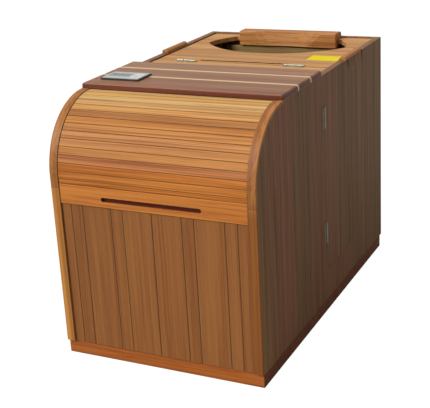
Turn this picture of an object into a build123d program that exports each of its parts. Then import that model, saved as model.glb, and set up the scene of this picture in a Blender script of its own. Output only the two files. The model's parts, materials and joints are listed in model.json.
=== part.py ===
from build123d import *
import os
from math import radians

# One-person half-body sauna cabinet in cedar, in millimetres.
# Origin: floor level, at the centre of the cabinet's footprint. +Z is up and the front faces -Y.

os.makedirs("parts", exist_ok=True)

# ---------------------------------------------------------------- driving dimensions
width = 762.0
depth = 1315.0
rim_height = 915.0
plinth_height = 50.0
plinth_inset_side = 2.0
plinth_inset_front = 10.0
plinth_inset_back = 12.0
plinth_rail = 22.0

wall = 24.0
board = 18.0
trim = 8.0
trim_width = 32.0
trim_round = 3.0
nose_radius = 246.0
stile_top = 625.0
panel_setback = 7.0

groove_side = 3.6
board_wide = 110.0
board_pitch = 155.0

deck_drop = 5.0
deck_gap = 3.0

door_hinge_line = 622.0
door_length = 444.0
door_bottom = 166.0
door_corner = 200.0
door_gap = 1.5

curtain_slats = 15
slat_pitch = 6.63
slat_setback = 3.0
slat_thickness = 17.0
tongue_thickness = 10.8
tongue_rise = 0.4
curtain_low_angle = -5.9
full_slat_angle = -2.0

shelf_thickness = 19.0
shelf_board_depths = (130.0, 106.0, 99.0)
inlay_width = 12.0

lid_hinge_line = 747.0
lid_back = 1104.0
neck_front_radius = 355.0
neck_front_centre = 1296.0
neck_back_radius = 302.0
neck_back_centre = 1060.0
neck_back_edge = 1254.0

hinge_length = 76.0
hinge_leaf = 12.0
leaf_thickness = 1.5
knuckle_radius = 3.5
pin_radius = 1.6
pin_clearance = 0.05

# ---------------------------------------------------------------- derived planes and lines
half_width = width / 2
front = -depth / 2
back = depth / 2
front_panel_face = front + panel_setback
wall_inside = half_width - wall
deck_top = rim_height - deck_drop
deck_bottom = deck_top - board
deck_half = wall_inside - deck_gap
nose_y = front + nose_radius
nose_z = rim_height - nose_radius
nose_centre = (nose_y, nose_z)
track_radius = nose_radius - trim
floor_top = plinth_height + board
back_inside = back - board
low = (Align.MIN, Align.MIN)
middle_low = (Align.CENTER, Align.MIN)
sides = (("left", -1), ("right", 1))


def save(builder, name):
    """Label a finished piece and write it to its own STEP file."""
    builder.part.label = name
    export_step(builder.part, f"parts/{name}.step")


def board_joints(start, count):
    """Positions of the V joints of boards that alternate wide and narrow faces."""
    joints = []
    for index in range(count):
        joints.append(start + index * board_pitch)
        joints.append(start + index * board_pitch + board_wide)
    return joints


def slab(name, low_corner, high_corner, edge_round=0.0):
    """A plain board between two corners, with its upright and top edges eased."""
    sizes = [high - base for base, high in zip(low_corner, high_corner)]
    with BuildPart() as piece:
        with BuildSketch(Plane.XY.offset(low_corner[2])):
            with Locations((low_corner[0], low_corner[1])):
                Rectangle(sizes[0], sizes[1], align=low)
        extrude(amount=sizes[2])
        if edge_round > 0:
            fillet(piece.faces().sort_by(Axis.Z)[-1].edges(), edge_round)
    save(piece, name)


def arc_band(plane, inner, outer, first, last):
    """A face between two radii round the nose centre; 0 degrees points forward, 90 up."""
    with BuildSketch(plane) as band:
        with BuildLine():
            outer_arc = CenterArc(nose_centre, outer, 180 - last, last - first)
            inner_arc = CenterArc(nose_centre, inner, 180 - last, last - first)
            Line(outer_arc @ 0, inner_arc @ 0)
            Line(outer_arc @ 1, inner_arc @ 1)
        make_face()
    return band.sketch


# ---------------------------------------------------------------- base
def make_plinth():
    length = depth - plinth_inset_front - plinth_inset_back
    middle = front + plinth_inset_front + length / 2
    span = width - 2 * plinth_inset_side
    with BuildPart() as piece:
        with BuildSketch():
            with Locations((0, middle)):
                Rectangle(span, length)
                Rectangle(span - 2 * plinth_rail, length - 2 * plinth_rail, mode=Mode.SUBTRACT)
        extrude(amount=plinth_height)
        chamfer(piece.edges().filter_by(Axis.Z).group_by(Axis.Y)[0], 2)
        chamfer(piece.edges().filter_by(Axis.Z).group_by(Axis.Y)[-1], 2)
    save(piece, "plinth_frame")


def make_floor():
    floor_front = front_panel_face + board
    slab("floor_panel", (-wall_inside, floor_front, plinth_height), (wall_inside, back_inside, floor_top))


# ---------------------------------------------------------------- side walls and doors
wall_joints = board_joints(front + 43.0, 4)[:-1]
door_joints = board_joints(front + 641.0, 3)[:-1]
rear_joints = (front + 1171.0, front + 1216.0)
scoop_front = front + 877.0
scoop_foot = front + 913.0
scoop_back = front + 924.0
scoop_turn = front + 905.0
scoop_low = 852.0
scoop_depth = 11.0
scoop_rear_depth = 3.5
pocket_depth = 15.0


def door_outline(plane, gap):
    """The door's outline, with its large round lower rear corner, grown by a gap."""
    with BuildSketch(plane) as outline:
        with Locations((front + door_hinge_line - gap, door_bottom - gap)):
            Rectangle(door_length + 2 * gap, rim_height - door_bottom + gap, align=low)
        corner = outline.vertices().group_by(Axis.Y)[0].sort_by(Axis.X)[-1]
        fillet(corner, door_corner + gap)
    return outline.sketch


def groove_section(points):
    """Diamonds centred on a panel's face line; extruded upward they cut its V joints."""
    with BuildSketch(Plane.XY.offset(plinth_height)) as section:
        with Locations(*points):
            Rectangle(groove_side, groove_side, rotation=45)
    return section.sketch


def make_side_wall(name, sign):
    plane = Plane.YZ.offset(min(sign * half_width, sign * wall_inside))
    doorway = door_outline(plane, 2 * door_gap)
    joints = list(wall_joints) + list(rear_joints)
    grooves = groove_section([(sign * half_width, joint) for joint in joints])
    with BuildPart() as piece:
        with BuildSketch(plane):
            with BuildLine():
                start = (front + trim, plinth_height)
                shoulder = (nose_y, nose_z + track_radius)
                upright = Line(start, (front + trim, nose_z))
                RadiusArc(upright @ 1, shoulder, track_radius)
                rim = Polyline(shoulder, (nose_y, rim_height), (back, rim_height))
                Polyline(rim @ 1, (back, plinth_height), start)
            make_face()
        extrude(amount=wall)
        extrude(doorway, amount=wall, mode=Mode.SUBTRACT)
        extrude(grooves, amount=rim_height, mode=Mode.SUBTRACT)
    save(piece, "side_wall_" + name)


def scoop_cutter(sign):
    """A finger scoop: a shallow sloping face that ends at a deep slanted pocket."""
    scoop_end = front + door_hinge_line + door_length + door_gap
    skin = sign * half_width
    beyond = sign * (half_width + pocket_depth)
    with BuildPart() as cutter:
        with BuildSketch(Plane.XZ.offset(-scoop_turn)):
            with BuildLine():
                Polyline(
                    (skin, scoop_low),
                    (skin - sign * scoop_depth, rim_height),
                    (beyond, rim_height),
                    (beyond, scoop_low),
                    close=True,
                )
            make_face()
        with BuildSketch(Plane.XZ.offset(-scoop_end)):
            with BuildLine():
                Polyline(
                    (skin, scoop_low),
                    (skin - sign * scoop_rear_depth, rim_height),
                    (beyond, rim_height),
                    (beyond, scoop_low),
                    close=True,
                )
            make_face()
        loft()
        with BuildSketch(Plane.YZ.offset(skin)):
            with BuildLine():
                Polyline(
                    (scoop_front, rim_height),
                    (scoop_foot, scoop_low),
                    (scoop_back, rim_height),
                    close=True,
                )
            make_face()
        extrude(amount=pocket_depth, both=True)
    return cutter.part


def make_side_door(name, sign):
    plane = Plane.YZ.offset(min(sign * half_width, sign * wall_inside))
    outline = door_outline(plane, 0)
    scoop = scoop_cutter(sign)
    grooves = groove_section([(sign * half_width, joint) for joint in door_joints])
    with BuildPart() as piece:
        extrude(outline, amount=wall)
        extrude(grooves, amount=rim_height, mode=Mode.SUBTRACT)
        add(scoop, mode=Mode.SUBTRACT)
    save(piece, "side_door_" + name)


grip_front = front + 852.0
grip_length = 174.0
grip_width = 26.0
grip_height = 13.0
grip_overhang = 5.0
grip_round = 11.0


def make_door_grip(name, sign):
    centre = sign * (half_width + grip_overhang - grip_width / 2)
    with BuildPart() as piece:
        with BuildSketch(Plane.XZ.offset(-grip_front)):
            with Locations((centre, rim_height)):
                Rectangle(grip_width, grip_height, align=middle_low)
        extrude(amount=-grip_length)
        top_edges = piece.faces().sort_by(Axis.Z)[-1].edges().filter_by(Axis.Y)
        fillet(top_edges, grip_round)
    save(piece, "door_grip_" + name)


# ---------------------------------------------------------------- front and back
front_joints = (0.0, -110.0, 110.0, -155.0, 155.0, -265.0, 265.0, -310.0, 310.0)
rail_bottom = 573.0
rail_top = 643.5
rail_face = front + 3.0
rail_thickness = 15.0
rail_half = half_width - trim_width - 0.5
rail_gap = 2.0


def make_front_panel():
    top = rail_bottom - rail_gap
    grooves = groove_section([(joint, front_panel_face) for joint in front_joints])
    with BuildPart() as piece:
        with BuildSketch(Plane.XY.offset(plinth_height)):
            with Locations((0, front_panel_face)):
                Rectangle(2 * (half_width - trim_width), board, align=middle_low)
        extrude(amount=top - plinth_height)
        extrude(grooves, amount=top, mode=Mode.SUBTRACT)
    save(piece, "front_panel")


grommet_x = 230.0
grommet_z = 120.0
grommet_radius = 15.0
grommet_web = 2.0
grommet_lip = 5.0


def make_back_panel():
    joints = [sign * offset for sign in (-1, 1) for offset in (77.5, 187.5, 232.5, 342.5)]
    grooves = groove_section([(joint, back) for joint in joints])
    with BuildPart() as piece:
        with BuildSketch(Plane.XY.offset(plinth_height)):
            with Locations((0, back_inside)):
                Rectangle(2 * wall_inside, board, align=middle_low)
        extrude(amount=rim_height - plinth_height)
        extrude(grooves, amount=rim_height, mode=Mode.SUBTRACT)
        with BuildSketch(Plane.XZ.offset(-back_inside)):
            with Locations((grommet_x, grommet_z)):
                Circle(grommet_radius)
        extrude(amount=-board, mode=Mode.SUBTRACT)
    save(piece, "back_panel")


def make_grommet():
    """Rubber grommet for the mains lead, with its thin web still closed."""
    with BuildPart() as piece:
        with BuildSketch(Plane.XZ.offset(-back_inside)):
            with Locations((grommet_x, grommet_z)):
                Circle(grommet_radius - pin_clearance)
        extrude(amount=-board)
        with BuildSketch(Plane.XZ.offset(-back)):
            with Locations((grommet_x, grommet_z)):
                Circle(grommet_radius - grommet_lip)
        extrude(amount=(board - grommet_web) / 2, mode=Mode.SUBTRACT)
        outer_rim = piece.faces().sort_by(Axis.Y)[-1].edges()
        fillet(outer_rim, grommet_web / 2)
    save(piece, "cord_grommet")


post = 30.0
post_drop = 10.0


def make_posts():
    front_post_y = front_panel_face + board
    rear_post_y = back_inside - post
    with BuildPart() as piece:
        with BuildSketch(Plane.XY.offset(floor_top)):
            with Locations(*[(sign * (wall_inside - post / 2), front_post_y) for sign in (-1, 1)]):
                Rectangle(post, post, align=middle_low)
        extrude(amount=rail_bottom - post_drop - floor_top)
        with BuildSketch(Plane.XY.offset(floor_top)):
            with Locations(*[(sign * (wall_inside - post / 2), rear_post_y) for sign in (-1, 1)]):
                Rectangle(post, post, align=middle_low)
        extrude(amount=deck_bottom - floor_top)
    save(piece, "corner_posts")


def trim_profile(sign, level):
    """Section of the facing strip that covers a side wall's front edge."""
    with BuildSketch(Plane.XY.offset(level)) as profile:
        with Locations((sign * (half_width - trim_width / 2), front)):
            Rectangle(trim_width, trim, align=middle_low)
        corner = profile.vertices().group_by(Axis.Y)[0].sort_by(Axis.X)[-1 if sign > 0 else 0]
        fillet(corner, trim_round)
    return profile.sketch


def make_trims():
    profiles = [trim_profile(sign, stile_top) for _, sign in sides]
    bottoms = [trim_profile(sign, plinth_height) for _, sign in sides]
    with BuildPart() as arcs:
        with BuildLine(Plane.YZ) as path:
            upright = Line((front, stile_top), (front, nose_z))
            RadiusArc(upright @ 1, (nose_y, rim_height), nose_radius)
        for profile in profiles:
            sweep(profile, path=path.wires()[0])
    save(arcs, "arc_trims")
    with BuildPart() as stiles:
        for bottom in bottoms:
            extrude(bottom, amount=stile_top - plinth_height)
    save(stiles, "front_stiles")


# ---------------------------------------------------------------- roll-up curtain
slat_outside = nose_radius - slat_setback
slat_inside = slat_outside - slat_thickness
slat_half_length = half_width - trim_width - 0.7
tongue_half_length = wall_inside - 0.5
track_width = 20.0
track_depth = 11.0
track_gap = 0.5
track_first_angle = -7.0
track_last_angle = 176.0
slat_joint = 0.5
slat_chamfer = 1.0


def make_guide_tracks():
    """Circular guides on the side walls that carry the ends of the slats."""
    top = slat_inside - track_gap
    with BuildPart() as piece:
        for _, sign in sides:
            plane = Plane.YZ.offset(min(sign * wall_inside, sign * (wall_inside - track_width)))
            band = arc_band(plane, top - track_depth, top, track_first_angle, track_last_angle)
            extrude(band, amount=track_width)
    save(piece, "guide_tracks")


def slat_section(plane, centre_angle, half_angle):
    """A slat's section: a flat-sided wedge between two radii, with its outer corners cut."""
    inner_half = slat_inside * half_angle - slat_joint / 2
    outer_half = slat_outside * half_angle - slat_joint / 2
    with BuildSketch(plane) as section:
        with Locations(nose_centre):
            with PolarLocations(slat_inside, 1, 180 - centre_angle):
                Polygon(
                    (0, -inner_half),
                    (slat_thickness - slat_chamfer, -outer_half),
                    (slat_thickness, slat_chamfer - outer_half),
                    (slat_thickness, outer_half - slat_chamfer),
                    (slat_thickness - slat_chamfer, outer_half),
                    (0, inner_half),
                    align=None,
                )
    return section.sketch


def tongue_section(plane, centre_angle, half_angle):
    """The thinner and narrower section of a slat's ends, which run under the edge strips."""
    breadth = 2 * (slat_inside * half_angle - slat_joint)
    with BuildSketch(plane) as section:
        with Locations(nose_centre):
            with PolarLocations(slat_inside + tongue_rise, 1, 180 - centre_angle):
                Rectangle(tongue_thickness, breadth, align=(Align.MIN, Align.CENTER))
    return section.sketch


def make_slats():
    """Full slats above a narrow starter slat, each with a thinner tongue at both ends."""
    slats = [((index + 0.5) * slat_pitch + full_slat_angle, slat_pitch) for index in range(curtain_slats)]
    starter = full_slat_angle - curtain_low_angle
    slats.append((full_slat_angle - starter / 2, starter))
    face_plane = Plane.YZ.offset(-slat_half_length)
    tongue_length = tongue_half_length - slat_half_length
    with BuildPart() as piece:
        for centre, span in slats:
            half_angle = radians(span / 2)
            extrude(slat_section(face_plane, centre, half_angle), amount=2 * slat_half_length)
            for start in (-tongue_half_length, slat_half_length):
                extrude(tongue_section(Plane.YZ.offset(start), centre, half_angle), amount=tongue_length)
    save(piece, "tambour_slats")


canvas_inset = 7.0
canvas_thickness = 1.1
canvas_glue = 0.1


def make_canvas():
    canvas_half = wall_inside - track_width - canvas_inset
    canvas_outside = slat_inside - canvas_glue
    last = full_slat_angle + curtain_slats * slat_pitch
    plane = Plane.YZ.offset(-canvas_half)
    band = arc_band(plane, canvas_outside - canvas_thickness, canvas_outside, curtain_low_angle, last)
    with BuildPart() as piece:
        extrude(band, amount=2 * canvas_half)
    save(piece, "tambour_canvas")


handle_slot_length = 374.0
handle_slot_height = 16.0
handle_slot_rise = 28.0
handle_slot_depth = 12.0
rail_round = 1.5


def make_pull_rail():
    with BuildPart() as piece:
        with BuildSketch(Plane.XZ.offset(-rail_face)):
            with Locations((0, rail_bottom)):
                Rectangle(2 * rail_half, rail_top - rail_bottom, align=middle_low)
        extrude(amount=-rail_thickness)
        with BuildSketch(Plane.XZ.offset(-rail_face)):
            with Locations((0, rail_bottom + handle_slot_rise)):
                SlotOverall(handle_slot_length, handle_slot_height)
        extrude(amount=-handle_slot_depth, mode=Mode.SUBTRACT)
        long_edges = piece.faces().sort_by(Axis.Y)[0].edges().filter_by(Axis.X)
        fillet(long_edges.group_by(Axis.Z)[0] + long_edges.group_by(Axis.Z)[-1], rail_round)
    save(piece, "pull_rail")


# ---------------------------------------------------------------- shelf
plug_radius = 5.0
plug_height = 8.0
plug_x = half_width - wall / 2 - 10.0
shelf_round = 6.0
shelf_end_round = 10.0
shelf_top = rim_height + shelf_thickness


def shelf_section():
    """The shelf's section from end to end, with both upper corners well rounded."""
    with BuildSketch(Plane.XZ.offset(-nose_y)) as section:
        with Locations((0, rim_height)):
            Rectangle(width, shelf_thickness, align=middle_low)
        fillet(section.vertices().group_by(Axis.Y)[-1], shelf_end_round)
    return section.sketch


def make_shelf():
    """Three dark boards with two pale inlays between them, all with the same end section."""
    section = shelf_section()
    start = 0.0
    plug_rows = []
    for index, (name, size) in enumerate(zip(("front", "middle", "rear"), shelf_board_depths)):
        with BuildPart() as piece:
            extrude(section.moved(Location((0, start, 0))), amount=-size)
            top = piece.faces().sort_by(Axis.Z)[-1]
            if index == 0:
                fillet(top.edges().sort_by(Axis.Y)[0], shelf_round)
            if index == 2:
                fillet(top.edges().sort_by(Axis.Y)[-1], shelf_round)
            if index != 1:
                plug_rows.append(nose_y + start + size / 2)
                with BuildSketch(Plane.XY.offset(shelf_top)):
                    with Locations(*[(sign * plug_x, plug_rows[-1]) for sign in (-1, 1)]):
                        Circle(plug_radius)
                extrude(amount=-plug_height, mode=Mode.SUBTRACT)
        save(piece, f"shelf_board_{name}")
        start += size
        if index < 2:
            with BuildPart() as inlay:
                extrude(section.moved(Location((0, start, 0))), amount=-inlay_width)
            save(inlay, "shelf_inlay_" + ("front", "rear")[index])
            start += inlay_width
    with BuildPart() as plugs:
        with BuildSketch(Plane.XY.offset(shelf_top)):
            with Locations(*[(sign * plug_x, row) for sign in (-1, 1) for row in plug_rows]):
                Circle(plug_radius - pin_clearance)
        extrude(amount=-plug_height)
    save(plugs, "shelf_plugs")


# ---------------------------------------------------------------- top deck, lid and headrest
cross_rail_y = front + 568.0
cross_rail_side = 34.0
deck_strip_y = front + 585.0
hinge_gap = 2.0
rest_inset = 26.0
rest_size = (44.0, 40.0)


def make_deck():
    slab(
        "cross_rail",
        (-wall_inside, cross_rail_y, deck_bottom - cross_rail_side),
        (wall_inside, cross_rail_y + cross_rail_side, deck_bottom),
    )
    slab(
        "deck_strip",
        (-deck_half, deck_strip_y, deck_bottom),
        (deck_half, front + lid_hinge_line - hinge_gap, deck_top),
    )
    deck_front = front + lid_back + deck_gap
    with BuildPart() as rear:
        with BuildSketch(Plane.XY.offset(deck_bottom)):
            with Locations((0, deck_front)):
                Rectangle(2 * deck_half, back_inside - deck_front, align=middle_low)
        extrude(amount=board)
        with BuildSketch(Plane.XY.offset(deck_bottom)):
            with Locations((0, front + neck_back_centre)):
                Circle(neck_back_radius)
            with Locations((0, front + neck_back_edge)):
                Rectangle(width, depth, align=middle_low, mode=Mode.SUBTRACT)
        extrude(amount=board, mode=Mode.SUBTRACT)
    save(rear, "rear_deck")
    rest_x = deck_half - rest_inset
    with BuildPart() as rests:
        with BuildSketch(Plane.XY.offset(deck_bottom)):
            with Locations(*[(sign * rest_x, front + lid_back) for sign in (-1, 1)]):
                Rectangle(rest_size[0], rest_size[1])
        extrude(amount=-board)
    save(rests, "lid_rests")


lid_slot_length = 373.0
lid_slot_width = 15.0
lid_slot_x = 8.0
lid_slot_y = front + 777.0
batten_x = 318.0
batten_size = (40.0, 270.0)
batten_start = 45.0


def make_lid():
    lid_front = front + lid_hinge_line + hinge_gap
    length = lid_back - lid_hinge_line - hinge_gap
    with BuildPart() as panel:
        with BuildSketch(Plane.XY.offset(deck_bottom)):
            with Locations((0, lid_front)):
                Rectangle(2 * (deck_half - hinge_gap), length, align=middle_low)
            with Locations((0, front + neck_front_centre)):
                Circle(neck_front_radius, mode=Mode.SUBTRACT)
            with Locations((lid_slot_x, lid_slot_y)):
                SlotOverall(lid_slot_length, lid_slot_width, mode=Mode.SUBTRACT)
        extrude(amount=board)
    save(panel, "lid_panel")
    with BuildPart() as battens:
        with BuildSketch(Plane.XY.offset(deck_bottom)):
            with Locations(*[(sign * batten_x, lid_front + batten_start) for sign in (-1, 1)]):
                Rectangle(batten_size[0], batten_size[1], align=middle_low)
        extrude(amount=-board)
    save(battens, "lid_battens")


headrest_half = 214.0
headrest_x = 4.0
headrest_face = front + 1222.0
headrest_plate = 30.0
headrest_depth = 74.0
headrest_bottom = 880.0
headrest_top = 938.0
dish_half_top = 166.0
dish_half_bottom = 110.0
dish_depth_top = 20.0
dish_depth_bottom = 6.0
dish_open = 2.0
headrest_back_round = 13.0
headrest_front_round = 6.0
headrest_foot_round = 8.0


def dish_outline(level, half, depth):
    """The dish's outline at one height: an arc that sinks into the headrest's face."""
    mouth = headrest_face - dish_open
    with BuildSketch(Plane.XY.offset(level)) as outline:
        with BuildLine():
            ThreePointArc((-half, mouth), (0, headrest_face + depth), (half, mouth))
            Polyline((half, mouth), (half, mouth - depth), (-half, mouth - depth), (-half, mouth))
        make_face()
    return outline.sketch


def make_headrest():
    """Plate and bar in one piece, with a dish for the neck that widens towards the top."""
    with BuildPart() as piece:
        with BuildSketch(Plane.YZ.offset(headrest_x - headrest_half)):
            with BuildLine():
                Polyline(
                    (headrest_face, headrest_bottom),
                    (headrest_face + headrest_plate, headrest_bottom),
                    (headrest_face + headrest_plate, deck_top),
                    (headrest_face + headrest_depth, deck_top),
                    (headrest_face + headrest_depth, headrest_top),
                    (headrest_face, headrest_top),
                    close=True,
                )
            make_face()
        extrude(amount=2 * headrest_half)
        top_edges = piece.faces().sort_by(Axis.Z)[-1].edges().filter_by(Axis.X)
        fillet(top_edges.sort_by(Axis.Y)[-1], headrest_back_round)
        front_edge = piece.edges().filter_by(Axis.X).group_by(Axis.Z)[-1].sort_by(Axis.Y)[0]
        fillet(front_edge, headrest_front_round)
        foot_edge = piece.edges().filter_by(Axis.X).sort_by(Axis.Y)[-1]
        fillet(foot_edge, headrest_foot_round)
        loft(
            [
                dish_outline(headrest_bottom - dish_open, dish_half_bottom, dish_depth_bottom).face(),
                dish_outline(headrest_top + dish_open, dish_half_top, dish_depth_top).face(),
            ],
            mode=Mode.SUBTRACT,
        )
    save(piece, "headrest")


# ---------------------------------------------------------------- hinges
def make_hinge_leaf(name, frames, direction, spans):
    """One leaf with its knuckles on each hinge frame: Z along the pin, Y into the timber."""
    reach = direction * (knuckle_radius + hinge_leaf / 2)
    bottom = -hinge_length / 2
    with BuildPart() as piece:
        with BuildSketch(*[frame.offset(bottom) for frame in frames]):
            with Locations((reach, knuckle_radius - leaf_thickness / 2)):
                Rectangle(hinge_leaf, leaf_thickness)
        extrude(amount=hinge_length)
        for start, length in spans:
            with BuildSketch(*[frame.offset(bottom + start) for frame in frames]):
                Circle(knuckle_radius)
                with Locations((direction * knuckle_radius, knuckle_radius - leaf_thickness / 2)):
                    Rectangle(2 * knuckle_radius, leaf_thickness)
                Circle(pin_radius + pin_clearance, mode=Mode.SUBTRACT)
            extrude(amount=length)
    save(piece, name)


def make_hinge_pins(name, frames):
    bottom = -hinge_length / 2
    head = 1.5
    head_radius = knuckle_radius - 0.5
    with BuildPart() as piece:
        with BuildSketch(*[frame.offset(bottom) for frame in frames]):
            Circle(pin_radius)
        extrude(amount=hinge_length)
        for level in (bottom - head, hinge_length / 2):
            with BuildSketch(*[frame.offset(level) for frame in frames]):
                Circle(head_radius)
            extrude(amount=head)
    save(piece, name)


knuckle = hinge_length / 3
knuckle_play = 0.2
outer_knuckles = ((0, knuckle - knuckle_play), (2 * knuckle + knuckle_play, knuckle - knuckle_play))
middle_knuckle = ((knuckle + knuckle_play, knuckle - 2 * knuckle_play),)
door_hinge_levels = (318.0, 757.0)
lid_hinge_x = 222.0


def door_hinge_frames(sign):
    """Pin frames of one door's hinges, on the outer face at the door's front edge."""
    pin_x = sign * (half_width + knuckle_radius)
    pin_y = front + door_hinge_line - door_gap
    up = (0, 0, sign)
    origins = [(pin_x, pin_y, level) for level in door_hinge_levels]
    return [Plane(origin=origin, x_dir=(0, 1, 0), z_dir=up) for origin in origins]


def lid_hinge_frames():
    pin_y = front + lid_hinge_line
    pin_z = deck_top + knuckle_radius
    along = (-1, 0, 0)
    origins = [(sign * lid_hinge_x, pin_y, pin_z) for sign in (-1, 1)]
    return [Plane(origin=origin, x_dir=(0, 1, 0), z_dir=along) for origin in origins]


def make_hinges():
    right = door_hinge_frames(1)
    left = door_hinge_frames(-1)
    make_hinge_leaf("door_hinge_wall_leaves", left + right, -1, outer_knuckles)
    make_hinge_leaf("door_hinge_leaves_left", left, 1, middle_knuckle)
    make_hinge_leaf("door_hinge_leaves_right", right, 1, middle_knuckle)
    make_hinge_pins("door_hinge_pins", left + right)
    lid = lid_hinge_frames()
    make_hinge_leaf("lid_hinge_deck_leaves", lid, -1, outer_knuckles)
    make_hinge_leaf("lid_hinge_lid_leaves", lid, 1, middle_knuckle)
    make_hinge_pins("lid_hinge_pins", lid)


catch_y = front + door_hinge_line + door_length + 2 * door_gap
catch_z = 560.0
catch_height = 46.0
catch_depth = 16.0
catch_base = 14.0
tongue_reach = 11.0
tongue_height = 30.0
strike_size = (18.0, 26.0)
strike_thickness = 2.0
strike_gap = 0.6


def make_catches():
    """Magnetic catches inside the wall behind each door, each with a tongue behind the door."""
    clear = strike_thickness + strike_gap
    with BuildPart() as piece:
        for _, sign in sides:
            near = min(sign * wall_inside, sign * (wall_inside - catch_depth))
            with BuildSketch(Plane.YZ.offset(near)):
                with Locations((catch_y, catch_z)):
                    Rectangle(catch_base, catch_height, align=(Align.MIN, Align.CENTER))
            extrude(amount=catch_depth)
            tongue_side = min(sign * (wall_inside - clear), sign * (wall_inside - catch_depth))
            with BuildSketch(Plane.YZ.offset(tongue_side)):
                with Locations((catch_y, catch_z)):
                    Rectangle(tongue_reach, tongue_height, align=(Align.MAX, Align.CENTER))
            extrude(amount=catch_depth - clear)
    save(piece, "door_catches")


def make_strikes():
    """Steel strike plates on the inner faces of the doors, facing the catches."""
    far = catch_y - 3 * door_gap
    for name, sign in sides:
        near_x, far_x = sorted((sign * wall_inside, sign * (wall_inside - strike_thickness)))
        slab(
            "door_strike_" + name,
            (near_x, far - strike_size[0], catch_z - strike_size[1] / 2),
            (far_x, far, catch_z + strike_size[1] / 2),
        )


# ---------------------------------------------------------------- control panel
panel_x = -262.5
panel_y = front + 355.5
panel_width = 155.0
panel_depth = 103.0
panel_height = 6.5
panel_round = 6.0
panel_chamfer = 1.0
panel_wall = 5.0
panel_floor = 2.0
panel_fit = 0.2
face_lift = 0.6
face_support = 2.0
display_size = (82.0, 44.0)
display_centre = (panel_x - 22.0, panel_y + 6.0)
key_size = (15.0, 12.0)
key_columns = 2
key_rows = 3
key_pitch = (19.0, 22.0)
key_centre = (panel_x + 48.5, panel_y)
key_gap = 0.4
key_stand = 1.6
key_travel_gap = 1.4
key_round = 0.8
panel_top = shelf_top + panel_height
pocket_floor = shelf_top + panel_floor
pocket = (panel_width - 2 * panel_wall, panel_depth - 2 * panel_wall)


def make_panel_housing():
    with BuildPart() as housing:
        with BuildSketch(Plane.XY.offset(shelf_top)):
            with Locations((panel_x, panel_y)):
                RectangleRounded(panel_width, panel_depth, panel_round)
        extrude(amount=panel_height)
        chamfer(housing.faces().sort_by(Axis.Z)[-1].edges(), panel_chamfer)
        with BuildSketch(Plane.XY.offset(pocket_floor)):
            with Locations((panel_x, panel_y)):
                Rectangle(pocket[0], pocket[1])
        extrude(amount=panel_height, mode=Mode.SUBTRACT)
    save(housing, "panel_housing")


def make_panel_face():
    """Face plate with a window for the display and a close hole round every key."""
    plate_low = pocket_floor + face_support
    hole = (key_size[0] + 2 * key_gap, key_size[1] + 2 * key_gap)
    with BuildPart() as plate:
        with BuildSketch(Plane.XY.offset(plate_low)):
            with Locations((panel_x, panel_y)):
                Rectangle(pocket[0] - 2 * panel_fit, pocket[1] - 2 * panel_fit)
            with Locations(key_centre):
                with GridLocations(key_pitch[0], key_pitch[1], key_columns, key_rows):
                    Rectangle(hole[0], hole[1], mode=Mode.SUBTRACT)
            with Locations(display_centre):
                Rectangle(display_size[0], display_size[1], mode=Mode.SUBTRACT)
        extrude(amount=panel_top + face_lift - plate_low)
    save(plate, "panel_face")


def centred_slab(name, centre, size, bottom, top, edge_round=0.0):
    low_corner = (centre[0] - size[0] / 2, centre[1] - size[1] / 2, bottom)
    high_corner = (centre[0] + size[0] / 2, centre[1] + size[1] / 2, top)
    slab(name, low_corner, high_corner, edge_round)


def make_display_and_keys():
    window = (display_size[0] - 2 * panel_fit, display_size[1] - 2 * panel_fit)
    centred_slab("panel_display", display_centre, window, pocket_floor, panel_top)
    key_bottom = pocket_floor + key_travel_gap
    key_top = panel_top + key_stand
    number = 0
    for row in range(key_rows):
        for column in range(key_columns):
            number += 1
            x = key_centre[0] + (column - (key_columns - 1) / 2) * key_pitch[0]
            y = key_centre[1] - (row - (key_rows - 1) / 2) * key_pitch[1]
            centred_slab(f"panel_key_{number}", (x, y), key_size, key_bottom, key_top, key_round)


# ---------------------------------------------------------------- inside: bench, heaters, power
seat_top = 290.0
seat_front = front + 880.0
seat_half = 325.0
seat_slat = 78.0
seat_slats = 5
seat_gap = 1.0
bearer = 24.0
bearer_offsets = (-220.0, 0.0, 220.0)
cleat_half = 290.0
cleat_height = 50.0


def make_bench():
    first_slat = seat_front + seat_gap
    pitch = (back_inside - seat_gap - first_slat - seat_slat) / (seat_slats - 1)
    bearer_start = seat_front + board + seat_gap
    bearer_length = back_inside - board - seat_gap - bearer_start
    with BuildPart() as seat:
        with BuildSketch(Plane.XY.offset(seat_top - board)):
            with Locations(*[(0, first_slat + index * pitch) for index in range(seat_slats)]):
                Rectangle(2 * seat_half, seat_slat, align=middle_low)
        extrude(amount=board)
        with BuildSketch(Plane.XY.offset(seat_top - board)):
            with Locations(*[(offset, bearer_start) for offset in bearer_offsets]):
                Rectangle(bearer, bearer_length, align=middle_low)
        extrude(amount=-bearer)
    save(seat, "bench_seat")
    riser_top = seat_top - board
    slab("bench_riser", (-seat_half, seat_front, floor_top), (seat_half, seat_front + board, riser_top))
    slab(
        "bench_cleat",
        (-cleat_half, back_inside - board, riser_top - cleat_height),
        (cleat_half, back_inside, riser_top),
    )


heater = 16.0
floor_heater_thickness = 10.0
heater_round = 2.0
back_heater_size = (600.0, 330.0, 864.0)
calf_heater_size = (520.0, 92.0, 258.0)
front_heater_size = (520.0, 110.0, 520.0)
floor_heater_half = 230.0
floor_heater_start = front + 300.0
floor_heater_end = front + 780.0


def wall_heater(name, size, near_y):
    """A flat heating panel on an upright face; its size is width, bottom and top."""
    half, bottom, top = size[0] / 2, size[1], size[2]
    slab(name, (-half, near_y, bottom), (half, near_y + heater, top), heater_round)


backrest_half = 255.0
backrest_top = 873.0
backrest_bottom = 300.0
backrest_face = front + 1232.0
backrest_rail = 60.0
backrest_slats = 9
backrest_gap = 8.0


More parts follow.
